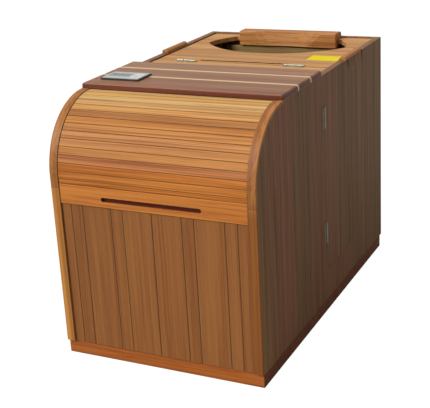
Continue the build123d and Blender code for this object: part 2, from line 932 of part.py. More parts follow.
def make_backrest():
    """Slatted back support in front of the back heater, on two battens."""
    clear = backrest_top - backrest_bottom - 2 * backrest_rail
    pitch = (2 * backrest_half + backrest_gap) / backrest_slats
    batten_y = back_inside - heater
    with BuildPart() as piece:
        with BuildSketch(Plane.XZ.offset(-backrest_face)):
            with Locations((0, backrest_bottom)):
                Rectangle(2 * backrest_half, backrest_top - backrest_bottom, align=middle_low)
            with Locations((0, backrest_bottom + backrest_rail + clear / 2)):
                with GridLocations(pitch, 0, backrest_slats - 1, 1):
                    Rectangle(backrest_gap, clear, mode=Mode.SUBTRACT)
        extrude(amount=-board)
        with BuildSketch(Plane.XZ.offset(-backrest_face - board)):
            for level in (backrest_bottom, backrest_top - backrest_rail):
                with Locations((0, level + backrest_rail / 2)):
                    Rectangle(2 * backrest_half, bearer)
        extrude(amount=-(batten_y - backrest_face - board))
        fillet(piece.edges().filter_by(Axis.X).group_by(Axis.Z)[-1].sort_by(Axis.Y)[0], heater_round)
    save(piece, "backrest")


def make_heaters():
    wall_heater("back_heater", back_heater_size, back_inside - heater)
    wall_heater("calf_heater", calf_heater_size, seat_front - heater)
    wall_heater("front_heater", front_heater_size, front_panel_face + board)
    slab(
        "floor_heater",
        (-floor_heater_half, floor_heater_start, floor_top),
        (floor_heater_half, floor_heater_end, floor_top + floor_heater_thickness),
        heater_round,
    )


grille_size = (600.0, 720.0)
grille_y = front + 490.0
grille_slot = (250.0, 14.0)
grille_grid = (2, 15)
grille_pitch = (274.0, 46.0)
grille_runner = 30.0
grille_lift = 12.0


def make_floor_grille():
    runner_x = grille_size[0] / 2 - grille_runner / 2
    with BuildPart() as piece:
        with BuildSketch(Plane.XY.offset(floor_top + grille_lift)):
            with Locations((0, grille_y)):
                Rectangle(grille_size[0], grille_size[1])
                with GridLocations(grille_pitch[0], grille_pitch[1], grille_grid[0], grille_grid[1]):
                    Rectangle(grille_slot[0], grille_slot[1], mode=Mode.SUBTRACT)
        extrude(amount=board)
        with BuildSketch(Plane.XY.offset(floor_top)):
            with Locations(*[(sign * runner_x, grille_y) for sign in (-1, 1)]):
                Rectangle(grille_runner, grille_size[1])
        extrude(amount=grille_lift)
    save(piece, "floor_grille")


power_box_size = (240.0, 150.0, 120.0)
power_box_back = back_inside - 20.0


def make_power_box():
    with BuildPart() as piece:
        with BuildSketch(Plane.XY.offset(floor_top)):
            with Locations((0, power_box_back - power_box_size[1] / 2)):
                RectangleRounded(power_box_size[0], power_box_size[1], 2 * heater_round)
        extrude(amount=power_box_size[2])
        fillet(piece.faces().sort_by(Axis.Z)[-1].edges(), heater_round)
    save(piece, "power_box")


# ---------------------------------------------------------------- make every piece
make_plinth()
make_floor()
for side_name, side_sign in sides:
    make_side_wall(side_name, side_sign)
    make_side_door(side_name, side_sign)
    make_door_grip(side_name, side_sign)
make_front_panel()
make_back_panel()
make_grommet()
make_posts()
make_trims()
make_guide_tracks()
make_slats()
make_canvas()
make_pull_rail()
make_shelf()
make_deck()
make_lid()
make_headrest()
make_hinges()
make_catches()
make_strikes()
make_panel_housing()
make_panel_face()
make_display_and_keys()
make_bench()
make_heaters()
make_backrest()
make_floor_grille()
make_power_box()
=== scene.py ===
"""Looks of a one-person cedar sauna cabinet: materials, small hardware, light and camera.

Every length is in metres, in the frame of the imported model: +Z is up, and the roll-up front
faces -Y.
"""
import json
import math

import bmesh
import bpy
from mathutils import Matrix, Vector


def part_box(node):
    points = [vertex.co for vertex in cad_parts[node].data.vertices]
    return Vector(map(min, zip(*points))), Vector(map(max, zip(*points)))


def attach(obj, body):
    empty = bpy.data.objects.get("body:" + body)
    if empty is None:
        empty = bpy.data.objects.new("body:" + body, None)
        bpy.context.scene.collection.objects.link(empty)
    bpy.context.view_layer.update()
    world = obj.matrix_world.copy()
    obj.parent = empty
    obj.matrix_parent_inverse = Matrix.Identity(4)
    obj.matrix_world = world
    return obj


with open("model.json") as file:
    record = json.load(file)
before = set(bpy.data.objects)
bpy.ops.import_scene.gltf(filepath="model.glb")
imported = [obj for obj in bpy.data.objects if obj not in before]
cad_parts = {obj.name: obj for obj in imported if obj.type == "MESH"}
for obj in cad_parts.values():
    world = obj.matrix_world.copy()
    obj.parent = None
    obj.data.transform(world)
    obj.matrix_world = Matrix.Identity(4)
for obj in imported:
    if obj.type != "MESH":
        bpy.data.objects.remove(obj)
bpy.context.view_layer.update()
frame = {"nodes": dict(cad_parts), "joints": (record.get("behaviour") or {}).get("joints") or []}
nodes = frame["nodes"]

# ---------------------------------------------------------------- places read from the frame
half_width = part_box("side_wall_right")[1].x
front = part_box("front_stiles")[0].y
roll_joint = next(joint for joint in frame["joints"] if joint["name"] == "tambour_roll")
nose_y, nose_z = roll_joint["pos_m"][1:]
nose_radius = nose_y - front
door_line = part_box("side_door_right")[0].y
shelf_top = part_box("shelf_board_front")[1].z
deck_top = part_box("lid_panel")[1].z

# ---------------------------------------------------------------- boards and slats
board_pitch = 0.155  # a wide face and a narrow one
board_wide = 0.110
wall_start = front + 0.043
behind_door = 1.018  # from the wall's first board to the first one behind the door
door_start = front + 0.641
in_middle_board = -0.02  # counts as the board before the first
deck_board = 0.092
inner_board = 0.088
shelf_board = 0.118
one_piece = 3.0  # wider than any piece, which then is a single board
slat_pitch = math.radians(6.63)
first_slat = math.radians(-8.63)
slat_radius = nose_radius - 0.007
trim_lean = 0.6  # how far the strips' grain leans as they bend back

# Steps between the board numbers of two sides, so that no two faces repeat a run of tones.
WALL_STEP = 17.0
BEHIND_STEP = 31.0
DOOR_STEP = 23.0
FRONT_STEP = 11.0
BACK_STEP = 13.0

# ---------------------------------------------------------------- where timber is darker: dark joints and painted shade
seam_start, seam_full = 0.445, 0.480  # from a slat's middle, as a share of its width
seam_depth = 0.62
# Bounds of painted shade follow: trim band, right stile, groove, plinth sides, lid slot, shelf
# sides.
band_start, band_full = half_width - 0.015, half_width - 0.019
band_strength = 0.45
stile_shade_start, stile_shade_full = nose_z + 0.02, nose_z - 0.08
groove_start, groove_full = front + 0.0050, front + 0.0130
plinth_side = half_width - 0.0035
slot_line = front + 0.777
slot_reach = 0.0085
slot_start = deck_top - 0.0006
shelf_side_start, shelf_side_full = shelf_top - 0.0005, shelf_top - 0.004


# ---------------------------------------------------------------- colours
def paint(red, green, blue):
    """A linear colour from the 0-255 values that a paint chart gives."""
    linear = []
    for level in (red, green, blue):
        share = level / 255
        linear.append(share / 12.92 if share <= 0.04045 else ((share + 0.055) / 1.055) ** 2.4)
    return (*linear, 1.0)


STRAW = paint(236, 196, 128)
GOLD = paint(218, 160, 92)
AMBER = paint(206, 140, 74)
ORANGE = paint(216, 134, 56)
PEACH = paint(210, 142, 72)
RUSSET = paint(196, 120, 66)
UMBER = paint(156, 98, 48)
OLIVE = paint(146, 107, 60)
BRICK = paint(158, 102, 70)
WALNUT = paint(158, 104, 66)
ASH = paint(170, 120, 82)
CREAM = paint(240, 214, 156)

# Slats from the starter slat up, one tone each.
SLAT_TONES = (
    ORANGE, paint(220, 140, 62), ORANGE, paint(204, 132, 78), PEACH, PEACH, AMBER, AMBER,
    PEACH, paint(188, 128, 72), GOLD, paint(228, 180, 112), STRAW, paint(230, 176, 100), STRAW,
    GOLD,
)
# Boards elsewhere draw a tone from their run.
FRONT_TONES = (UMBER, paint(162, 104, 52), UMBER)
WALL_TONES = (OLIVE, BRICK, paint(140, 100, 58), OLIVE, BRICK)
DECK_TONES = (GOLD, paint(224, 172, 106), paint(212, 154, 90), GOLD)
TRIM_TONES = (paint(190, 126, 62), paint(184, 120, 60))
STILE_TONES = (paint(214, 148, 70), paint(208, 144, 70))
RAIL_TONES = (ORANGE, ORANGE)
HANDLED_TONES = (PEACH, AMBER)
PLINTH_TONES = (paint(208, 118, 36), paint(196, 112, 42))
INNER_TONES = (AMBER, GOLD, PEACH)
# The backrest's greyer, olive tones.
BACKREST_TONES = (paint(170, 146, 96), OLIVE)
SHELF_TONES = (WALNUT, ASH)
INLAY_TONES = (paint(232, 216, 172), CREAM)
PLUG_TONES = (paint(150, 60, 34), RUSSET)

# Tones that multiply the timber below them.
STREAK_TINT = paint(150, 96, 62)
RING_TINT = paint(178, 128, 92)
# Painted shade tones for the trims, the groove, the slot, the plinth sides and the shelf sides.
TRIM_SHADE = paint(186, 166, 150)
GROOVE_SHADE = paint(128, 76, 40)
SLOT_SHADE = paint(64, 32, 24)
PLINTH_SHADE = paint(176, 170, 190)
SHELF_SHADE = paint(196, 150, 150)

STEEL = paint(176, 170, 152)
BLACK_PLASTIC = paint(28, 30, 34)
GREY_PLASTIC = paint(196, 198, 196)
KEY_PLASTIC = paint(232, 232, 226)
SCUFFED_PLASTIC = paint(235, 235, 235)
RUBBER = paint(20, 20, 21)
SMOKED = paint(96, 104, 104)
DISPLAY_ROWS = paint(178, 182, 176)
HEATER_WARP, HEATER_WEFT = paint(150, 148, 112), paint(168, 164, 128)
CANVAS_WARP, CANVAS_WEFT = paint(190, 178, 146), paint(174, 160, 128)
LABEL_YELLOW = paint(238, 218, 0)
FADED_YELLOW = paint(244, 230, 20)


# ---------------------------------------------------------------- material builder
class Look:
    """One material, built node by node and ending in a Principled shader."""

    def __init__(self, name, **settings):
        self.material = bpy.data.materials.new(name)
        self.material.use_nodes = True
        self.tree = self.material.node_tree
        self.tree.nodes.clear()
        output = self.tree.nodes.new("ShaderNodeOutputMaterial")
        self.shader = self.tree.nodes.new("ShaderNodeBsdfPrincipled")
        self.tree.links.new(self.shader.outputs["BSDF"], output.inputs["Surface"])
        for socket, value in settings.items():
            self.surface(socket.replace("_", " "), value)

    def put(self, node, socket, value):
        """Link a socket into an input, or set the input when the value is plain."""
        target = node.inputs[socket]
        if isinstance(value, bpy.types.NodeSocket):
            self.tree.links.new(value, target)
        else:
            target.default_value = value

    def surface(self, socket, value):
        self.put(self.shader, socket, value)

    def node(self, kind, inputs=None, **settings):
        made = self.tree.nodes.new(kind)
        for name, value in settings.items():
            setattr(made, name, value)
        for socket, value in (inputs or {}).items():
            self.put(made, socket, value)
        return made

    def math(self, operation, *values):
        return self.node("ShaderNodeMath", dict(enumerate(values)), operation=operation).outputs[0]

    def blend(self, factor, first, second, how="MIX"):
        made = self.node("ShaderNodeMix", data_type="RGBA", blend_type=how)
        self.put(made, 0, factor)
        self.put(made, 6, first)
        self.put(made, 7, second)
        return made.outputs[2]

    def tint(self, colour, by):
        return self.blend(1.0, colour, by, "MULTIPLY")

    def shaded(self, colour, share):
        """A colour dimmed to a share of its brightness."""
        return self.tint(colour, self.vector(share, share, share))

    def span(self, value, low, high, to_low=0.0, to_high=1.0):
        """Map a range smoothly onto another, clamped at both ends."""
        inputs = {0: value, 1: low, 2: high, 3: to_low, 4: to_high}
        mapped = self.node("ShaderNodeMapRange", inputs, interpolation_type="SMOOTHSTEP")
        return mapped.outputs[0]

    def ramp(self, value, colours, stepped=False):
        """Spread colours evenly over 0 to 1, in steps or as a smooth run."""
        made = self.node("ShaderNodeValToRGB", {0: value})
        bar = made.color_ramp
        bar.interpolation = "CONSTANT" if stepped else "LINEAR"
        gaps = len(colours) if stepped else len(colours) - 1
        while len(bar.elements) < len(colours):
            bar.elements.new(1.0)
        for index, colour in enumerate(colours):
            bar.elements[index].position = index / gaps
            bar.elements[index].color = colour
        return made.outputs[0]

    def vector(self, x, y, z):
        return self.node("ShaderNodeCombineXYZ", {0: x, 1: y, 2: z}).outputs[0]

    def noise(self, x, y, z, detail=2.0, rough=0.5):
        place = self.vector(x, y, z)
        inputs = {"Vector": place, "Scale": 1.0, "Detail": detail, "Roughness": rough}
        return self.node("ShaderNodeTexNoise", inputs).outputs[0]

    def speckle(self, scales, detail=2.0, rough=0.5):
        """Noise over the piece, with a scale for each axis."""
        axes = [self.math("MULTIPLY", *pair) for pair in zip(self.place(), scales)]
        return self.noise(*axes, detail, rough)

    def chance(self, number):
        """A fixed random value from 0 to 1 for each number."""
        drawn = self.node("ShaderNodeTexWhiteNoise", {"W": number}, noise_dimensions="1D")
        return drawn.outputs[0]

    def place(self):
        """X, Y and Z of the surface point in the model's frame."""
        coordinates = self.node("ShaderNodeTexCoord").outputs["Object"]
        return self.node("ShaderNodeSeparateXYZ", {0: coordinates}).outputs[:3]

    def crease_shade(self, distance, strength):
        """Painted shade: 1 on open faces, falling towards 1 - strength inside joints and corners.
        """
        sky = self.node("ShaderNodeAmbientOcclusion", {"Distance": distance}, samples=6)
        return self.span(sky.outputs["AO"], 0.25, 0.85, 1.0 - strength, 1.0)

    def arris(self, radius):
        """Rounded normals at a piece's own edges, and a mask of where those edges are."""
        rounded = self.node("ShaderNodeBevel", {"Radius": radius}, samples=4).outputs[0]
        flat = self.node("ShaderNodeNewGeometry").outputs["Normal"]
        inputs = {0: rounded, 1: flat}
        facing = self.node("ShaderNodeVectorMath", inputs, operation="DOT_PRODUCT")
        return rounded, self.span(facing.outputs["Value"], 0.995, 0.88)

    def bump(self, height, distance, normal=None):
        inputs = {"Height": height, "Distance": distance, "Strength": 1.0}
        made = self.node("ShaderNodeBump", inputs)
        if normal is not None:
            self.put(made, "Normal", normal)
        self.surface("Normal", made.outputs[0])


# ---------------------------------------------------------------- which board a point is in
def staggered_boards(look, across):
    """Board number for joints that alternate a wide and a narrow face."""
    turns = look.math("DIVIDE", across, board_pitch)
    whole = look.math("FLOOR", turns)
    part = look.math("SUBTRACT", turns, whole)
    narrow = look.math("GREATER_THAN", part, board_wide / board_pitch)
    return look.math("MULTIPLY_ADD", whole, 2.0, narrow)


def each_side(look, x, step, board):
    """Board number that differs between the left and the right side."""
    return look.math("MULTIPLY_ADD", look.math("SIGN", x), step, board)


def nose_turn(look, y, rise):
    """Angle about the nose's centre, from straight ahead."""
    return look.math("ARCTAN2", rise, look.math("SUBTRACT", nose_y, y))


def slats_passed(look, angle):
    return look.math("DIVIDE", look.math("SUBTRACT", angle, first_slat), slat_pitch)


def wall_grain(look):
    """Upright boards of a side wall; the short stretch behind the door starts its own count."""
    x, y, z = look.place()
    behind = look.math("GREATER_THAN", y, door_line)
    origin = look.math("MULTIPLY_ADD", behind, behind_door, wall_start)
    board = staggered_boards(look, look.math("SUBTRACT", y, origin))
    board = look.math("MULTIPLY_ADD", behind, BEHIND_STEP, board)
    return z, y, x, each_side(look, x, WALL_STEP, board)


def door_grain(look):
    x, y, z = look.place()
    board = staggered_boards(look, look.math("SUBTRACT", y, door_start))
    return z, y, x, each_side(look, x, DOOR_STEP, board)


def front_grain(look):
    """Upright boards counted out from the middle joint of the front."""
    x, y, z = look.place()
    board = staggered_boards(look, look.math("ABSOLUTE", x))
    return z, x, y, each_side(look, x, FRONT_STEP, board)


def back_grain(look):
    """Upright boards counted out from the middle board of the back."""
    x, y, z = look.place()
    across = look.math("SUBTRACT", look.math("ABSOLUTE", x), board_pitch / 2)
    board = staggered_boards(look, look.math("MAXIMUM", across, in_middle_board))
    return z, x, y, each_side(look, x, BACK_STEP, board)


def slat_grain(look):
    """Slats that follow each other round the nose, counted up from the pull rail."""
    x, y, z = look.place()
    angle = nose_turn(look, y, look.math("SUBTRACT", z, nose_z))
    board = look.math("FLOOR", slats_passed(look, angle))
    return x, look.math("MULTIPLY", angle, slat_radius), y, board


def arc_grain(look):
    """Grain that runs up the front and bends back over the nose."""
    x, y, z = look.place()
    rise = look.math("MAXIMUM", look.math("SUBTRACT", z, nose_z), 0.0)
    arc = look.math("MULTIPLY", nose_turn(look, y, rise), nose_radius)
    along = look.math("ADD", arc, look.math("MINIMUM", z, nose_z))
    thick = look.math("SUBTRACT", y, look.math("MULTIPLY", arc, trim_lean))
    return along, x, thick, look.math("SIGN", x)


def crosswise_grain(board_width):
    """Boards that run from side to side, edge to edge from front to back."""
    def grain(look):
        x, y, z = look.place()
        passed = look.math("DIVIDE", look.math("SUBTRACT", y, front), board_width)
        return x, y, z, look.math("FLOOR", passed)
    return grain


def lengthwise_grain(look):
    """Single lengths that run from front to back."""
    x, y, z = look.place()
    return y, x, z, look.math("SIGN", x)


# ---------------------------------------------------------------- masks of dark joints and painted shade
def slat_seams(look):
    """1 along the joints between slats, 0 on their faces."""
    _, y, z = look.place()
    angle = nose_turn(look, y, look.math("SUBTRACT", z, nose_z))
    part = look.math("FRACT", slats_passed(look, angle))
    off_middle = look.math("ABSOLUTE", look.math("SUBTRACT", part, 0.5))
    return look.span(off_middle, seam_start, seam_full)


def trim_inner_shade(look):
    """Painted shade: the edge strips' darker inner band; the right one is darker all over below
    the nose.
    """
    x, _, z = look.place()
    inner = look.span(look.math("ABSOLUTE", x), band_start, band_full, to_high=band_strength)
    right = look.math("GREATER_THAN", x, 0.0)
    low = look.span(z, stile_shade_start, stile_shade_full)
    return look.math("MAXIMUM", inner, look.math("MULTIPLY", right, low))


def groove_shade(look):
    """Painted shade: 1 behind the pull rail's face, inside its finger groove."""
    return look.span(look.place()[1], groove_start, groove_full)


def plinth_side_shade(look):
    """Painted shade: 1 along the plinth's long sides."""
    return look.math("GREATER_THAN", look.math("ABSOLUTE", look.place()[0]), plinth_side)


def slot_shade(look):
    """Painted shade: 1 on the walls of the slot through the lid, 0 elsewhere."""
    _, y, z = look.place()
    off_line = look.math("ABSOLUTE", look.math("SUBTRACT", y, slot_line))
    near = look.math("LESS_THAN", off_line, slot_reach)
    return look.math("MULTIPLY", near, look.math("LESS_THAN", z, slot_start))


def shelf_side_shade(look):
    """Painted shade: 0 on the shelf's top, 1 on its sides."""
    return look.span(look.place()[2], shelf_side_start, shelf_side_full)


# ---------------------------------------------------------------- timber
# Lines per metre across and along the grain, then the noise's detail and roughness.
STREAKS = (26.0, 0.7, 3.0, 0.55)
BANDS = (95.0, 1.1, 2.0, 0.6)
RINGS = (230.0, 1.6, 2.0, 0.6)
FIBRE = (1300.0, 30.0, 1.0, 0.5)

# Added to a board's number, so that its tone and its place in the grain are drawn apart.
tone_draw = 3.3
grain_draw = 40.7
grain_spread = 9.0

wander_across = 9.0
wander_along = 1.7
wander_reach = 0.016
ring_roughness = 0.16
ring_relief = 0.00022


def timber(
    name, grain, tones, listed=False, figure=1.0, roughness=0.50, edge=0.45, shine=0.32,
    crease_shade_reach=0.008, haze=0.0, corner=0.0016, seams=None, painted_shade=None,
):
    """Oiled straight-grained timber: board tone, streaks, ring lines, fibre, arrises as wear and
    painted highlight.

    listed gives each board its own tone in turn. seams masks dark joints. The last argument paints
    shade: a mask with the tone that multiplies the timber there.
    """
    look = Look(name, IOR=1.45, Specular_IOR_Level=shine, Coat_Weight=haze, Coat_Roughness=0.3)
    along, across, thick, board = grain(look)
    if listed:
        share = look.math("DIVIDE", look.math("ADD", board, 0.5), float(len(tones)))
    else:
        share = look.chance(look.math("ADD", board, tone_draw))
    tone = look.ramp(share, tones, stepped=listed)
    drawn = look.chance(look.math("ADD", board, grain_draw))
    shift = look.math("MULTIPLY", drawn, grain_spread)
    side = look.math("ADD", across, shift)
    slow_across = look.math("MULTIPLY", side, wander_across)
    slow_along = look.math("MULTIPLY", along, wander_along)
    wander = look.noise(slow_across, slow_along, shift)
    bent = look.math("MULTIPLY_ADD", wander, wander_reach, side)

    def stretched(lines_across, lines_along, detail, rough):
        return look.noise(
            look.math("MULTIPLY", bent, lines_across),
            look.math("MULTIPLY_ADD", along, lines_along, shift),
            look.math("MULTIPLY", thick, lines_across),
            detail,
            rough,
        )

    def laid_over(colour, pattern, low, high, strength, top):
        return look.blend(look.span(pattern, low, high, to_high=strength), colour, top)

    rings = stretched(*RINGS)
    fibre = stretched(*FIBRE)
    deep = look.tint(tone, STREAK_TINT)
    colour = laid_over(tone, stretched(*STREAKS), 0.38, 0.66, 0.30 * figure, deep)
    dark = look.tint(colour, RING_TINT)
    colour = laid_over(colour, stretched(*BANDS), 0.46, 0.66, 0.45 * figure, dark)
    colour = laid_over(colour, rings, 0.50, 0.68, 0.55 * figure, dark)
    pale = look.blend(0.5, colour, CREAM)
    colour = laid_over(colour, fibre, 0.50, 0.75, 0.10, pale)
    rounded, edge_mask = look.arris(corner)
    # Paler arrises: partly wear, partly a painted highlight where the rounded edges catch the
    # light.
    edge_wear_and_highlight = look.blend(0.55, colour, CREAM)
    colour = look.blend(look.math("MULTIPLY", edge_mask, edge), colour, edge_wear_and_highlight)
    # Painted shade in creases and corners, times the dark slat joints.
    shade = look.crease_shade(crease_shade_reach, 0.78)
    if seams is not None:
        lit = look.math("MULTIPLY_ADD", seams(look), -seam_depth, 1.0)
        shade = look.math("MULTIPLY", shade, lit)
    colour = look.shaded(colour, shade)
    # Painted shade: the mask's tone darkens the timber there.
    if painted_shade is not None:
        mask, shade_tone = painted_shade
        colour = look.blend(mask(look), colour, look.tint(colour, shade_tone))
    look.surface("Base Color", colour)
    smoothest = roughness - ring_roughness / 2
    look.surface("Roughness", look.math("MULTIPLY_ADD", rings, ring_roughness, smoothest))
    look.bump(look.math("MULTIPLY_ADD", fibre, 0.5, rings), ring_relief, rounded)
    return look.material


# ---------------------------------------------------------------- metal, plastic and cloth
def satin_metal(name, colour, roughness):
    """Brushed plated steel with fine upright scratches, cloudy plating and polished edges."""
    look = Look(name, Metallic=1.0, Anisotropic=0.35)
    brushed = look.speckle((900.0, 900.0, 60.0))
    clouds = look.speckle((45.0,) * 3, 3.0, 0.6)
    rounded, edge_mask = look.arris(0.0005)
    clouded = look.span(clouds, 0.35, 0.7, to_high=0.35)
    tinted = look.blend(clouded, colour, look.tint(colour, colour))
    # Painted shade in the hardware's corners.
    look.surface("Base Color", look.shaded(tinted, look.crease_shade(0.004, 0.8)))
    polished = look.math("MULTIPLY_ADD", edge_mask, -0.08, roughness)
    look.surface("Roughness", look.math("MULTIPLY_ADD", brushed, 0.25, polished))
    look.bump(brushed, 0.00003, rounded)
    return look.material


def moulded(name, colour, roughness, grain=0.00005):
    """Moulded plastic with a fine spark-eroded texture, a little dust and soft edges."""
    look = Look(name, IOR=1.5)
    speck = look.speckle((1500.0,) * 3, 1.0)
    dust = look.span(look.speckle((60.0,) * 3, 3.0, 0.6), 0.4, 0.75, to_high=0.12)
    rounded, edge_mask = look.arris(0.0006)
    dusty = look.blend(dust, colour, look.blend(0.35, colour, CREAM))
    scuffed = look.blend(look.math("MULTIPLY", edge_mask, 0.18), dusty, SCUFFED_PLASTIC)
    look.surface("Base Color", scuffed)
    look.surface("Roughness", look.math("MULTIPLY_ADD", speck, 0.2, roughness - 0.1))
    look.bump(speck, grain, rounded)
    return look.material


def woven(name, warp_colour, weft_colour, threads):
    """Plain weave: warp and weft threads that pass over each other in turn."""
    look = Look(name, Roughness=0.9, Sheen_Weight=0.15, Sheen_Roughness=0.5)
    x, y, z = look.place()
    across = look.math("MULTIPLY", x, threads)
    along = look.math("MULTIPLY", look.math("ADD", y, z), threads)

    def thread(count):
        return look.math("ABSOLUTE", look.math("SINE", look.math("MULTIPLY", count, math.pi)))

    checks = look.math("ADD", look.math("FLOOR", across), look.math("FLOOR", along))
    half_checks = look.math("FRACT", look.math("MULTIPLY", checks, 0.5))
    over = look.math("GREATER_THAN", half_checks, 0.25)
    inputs = {0: over, 2: thread(across), 3: thread(along)}
    height = look.node("ShaderNodeMix", inputs).outputs[0]
    fuzz = look.math("MULTIPLY_ADD", look.speckle((300.0,) * 3), 0.3, 0.5)
    shade = look.math("MULTIPLY_ADD", height, 0.35, fuzz)
    look.surface("Base Color", look.shaded(look.blend(over, warp_colour, weft_colour), shade))
    look.bump(height, 0.0004)
    return look.material


def display_window(name):
    """Smoked display window with faint rows behind it."""
    look = Look(name, Roughness=0.12, IOR=1.49, Coat_Weight=0.4, Coat_Roughness=0.05)
    y = look.place()[1]
    rows = look.math("SINE", look.math("MULTIPLY", y, 900.0))
    cells = look.speckle((160.0, 140.0, 1.0), 1.0)
    glow = look.math("MULTIPLY", look.span(rows, 0.1, 0.8), look.span(cells, 0.45, 0.6))
    look.surface("Base Color", look.blend(glow, SMOKED, DISPLAY_ROWS))
    return look.material


def sticker(name, colour, faded_colour):
    """Plain matt vinyl, a little faded and lifted in tiny ripples."""
    look = Look(name, Roughness=0.6, IOR=1.5, Specular_IOR_Level=0.2)
    ripples = look.speckle((40.0,) * 3, 3.0)
    faded = look.span(ripples, 0.4, 0.7, to_high=0.25)
    look.surface("Base Color", look.blend(faded, colour, faded_colour))
    look.bump(ripples, 0.0004)
    return look.material


# ---------------------------------------------------------------- the CAD pieces' materials
def dress(material, *names):
    for name in names:
        for slot in nodes[name].material_slots:
            slot.material = material


def dress_shell():
    """The timber that shows from outside, below the shelf and deck."""
    wall = timber("cedar_wall", wall_grain, WALL_TONES, edge=0.8, corner=0.0025)
    dress(wall, "side_wall_left", "side_wall_right")
    door = timber("cedar_door", door_grain, WALL_TONES, edge=1.0, corner=0.0035)
    dress(door, "side_door_left", "side_door_right")
    dress(timber("cedar_back", back_grain, WALL_TONES), "back_panel")
    dress(timber("cedar_front", front_grain, FRONT_TONES, figure=0.65), "front_panel")
    slat = timber(
        "cedar_slat", slat_grain, SLAT_TONES,
        listed=True, edge=0.15, shine=0.2, crease_shade_reach=0.004, seams=slat_seams,
    )
    dress(slat, "tambour_slats")
    strips = (
        ("cedar_trim", TRIM_TONES, "arc_trims"),
        ("cedar_stile", STILE_TONES, "front_stiles"),
    )
    # Painted shade on the strips' inner band and on the right stile below the nose.
    for name, tones, piece in strips:
        strip = timber(
            name, arc_grain, tones,
            figure=0.7, edge=0.8, crease_shade_reach=0.004, painted_shade=(trim_inner_shade, TRIM_SHADE),
        )
        dress(strip, piece)
    # Painted shade inside the rail's finger groove.
    rail = timber(
        "cedar_rail", crosswise_grain(one_piece), RAIL_TONES,
        figure=0.8, crease_shade_reach=0.006, painted_shade=(groove_shade, GROOVE_SHADE),
    )
    dress(rail, "pull_rail")


def dress_top_and_inside():
    """The timber of the deck, shelf, handles, plinth and inside."""
    # Painted shade on the walls of the lid's slot.
    deck = timber(
        "cedar_deck", crosswise_grain(deck_board), DECK_TONES,
        crease_shade_reach=0.012, painted_shade=(slot_shade, SLOT_SHADE),
    )
    dress(deck, "lid_panel", "rear_deck", "deck_strip")
    dress(timber("cedar_headrest", crosswise_grain(one_piece), HANDLED_TONES), "headrest")
    grip = timber("cedar_grip", lengthwise_grain, HANDLED_TONES)
    dress(grip, "door_grip_left", "door_grip_right")
    # Painted shade on the plinth's long sides.
    plinth = timber(
        "plinth_wood", crosswise_grain(one_piece), PLINTH_TONES,
        painted_shade=(plinth_side_shade, PLINTH_SHADE),
    )
    dress(plinth, "plinth_frame")
    dress(
        timber("cedar_inner", crosswise_grain(inner_board), INNER_TONES, roughness=0.62),
        "lid_battens", "lid_rests", "cross_rail", "corner_posts", "bench_seat", "bench_riser",
        "bench_cleat", "floor_grille", "guide_tracks", "floor_panel",
    )
    dress(timber("cedar_backrest", crosswise_grain(inner_board), BACKREST_TONES), "backrest")
    # Painted shade on the shelf's sides and ends.
    shelf = timber(
        "shelf_dark", crosswise_grain(shelf_board), SHELF_TONES,
        roughness=0.44, shine=0.38, haze=0.12, painted_shade=(shelf_side_shade, SHELF_SHADE),
    )
    dress(shelf, "shelf_board_front", "shelf_board_middle", "shelf_board_rear")
    inlay = timber(
        "inlay_pale", crosswise_grain(one_piece), INLAY_TONES, figure=0.2, roughness=0.42
    )
    dress(inlay, "shelf_inlay_front", "shelf_inlay_rear")
    dress(timber("plug_red", lengthwise_grain, PLUG_TONES), "shelf_plugs")


def dress_hardware(steel):
    """Hinges, catches, control panel, heaters and the roll-up front's canvas."""
    dress(
        steel,
        "door_hinge_wall_leaves", "door_hinge_leaves_left", "door_hinge_leaves_right",
        "door_hinge_pins", "lid_hinge_deck_leaves", "lid_hinge_lid_leaves", "lid_hinge_pins",
        "door_strike_left", "door_strike_right",
    )
    black = moulded("black_plastic", BLACK_PLASTIC, 0.38)
    dress(black, "panel_housing", "door_catches", "power_box")
    dress(moulded("grey_plastic", GREY_PLASTIC, 0.42), "panel_face")
    keys = [f"panel_key_{index}" for index in range(1, 7)]
    dress(moulded("key_plastic", KEY_PLASTIC, 0.45), *keys)
    dress(display_window("display_window"), "panel_display")
    heater = woven("heater_skin", HEATER_WARP, HEATER_WEFT, 420.0)
    dress(heater, "back_heater", "calf_heater", "front_heater", "floor_heater")
    dress(woven("canvas", CANVAS_WARP, CANVAS_WEFT, 700.0), "tambour_canvas")
    dress(moulded("black_rubber", RUBBER, 0.7, grain=0.0001), "cord_grommet")


# ---------------------------------------------------------------- small pieces
def solid(name, mesh_data, material):
    """Turn a bmesh into an object with one material."""
    mesh = bpy.data.meshes.new(name)
    mesh_data.to_mesh(mesh)
    mesh_data.free()
    piece = bpy.data.objects.new(name, mesh)
    bpy.context.scene.collection.objects.link(piece)
    mesh.materials.append(material)
    return piece


def finished(name, mesh_data, material, body):
    """Turn a bmesh into a piece that rides on a body."""
    piece = solid(name, mesh_data, material)
    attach(piece, body)


screw_radius = 0.0026
screw_dome = 0.0007
screw_sides = 24
SCREW_PROFILE = ((1.0, 0.0), (0.94, 0.45), (0.78, 0.8))  # shares of radius and dome
first_twist = 0.5
twist_step = 1.1
recess_arm = 0.0016
recess_half = 0.00042
recess_depth = 0.0009
recess_taper = 0.8


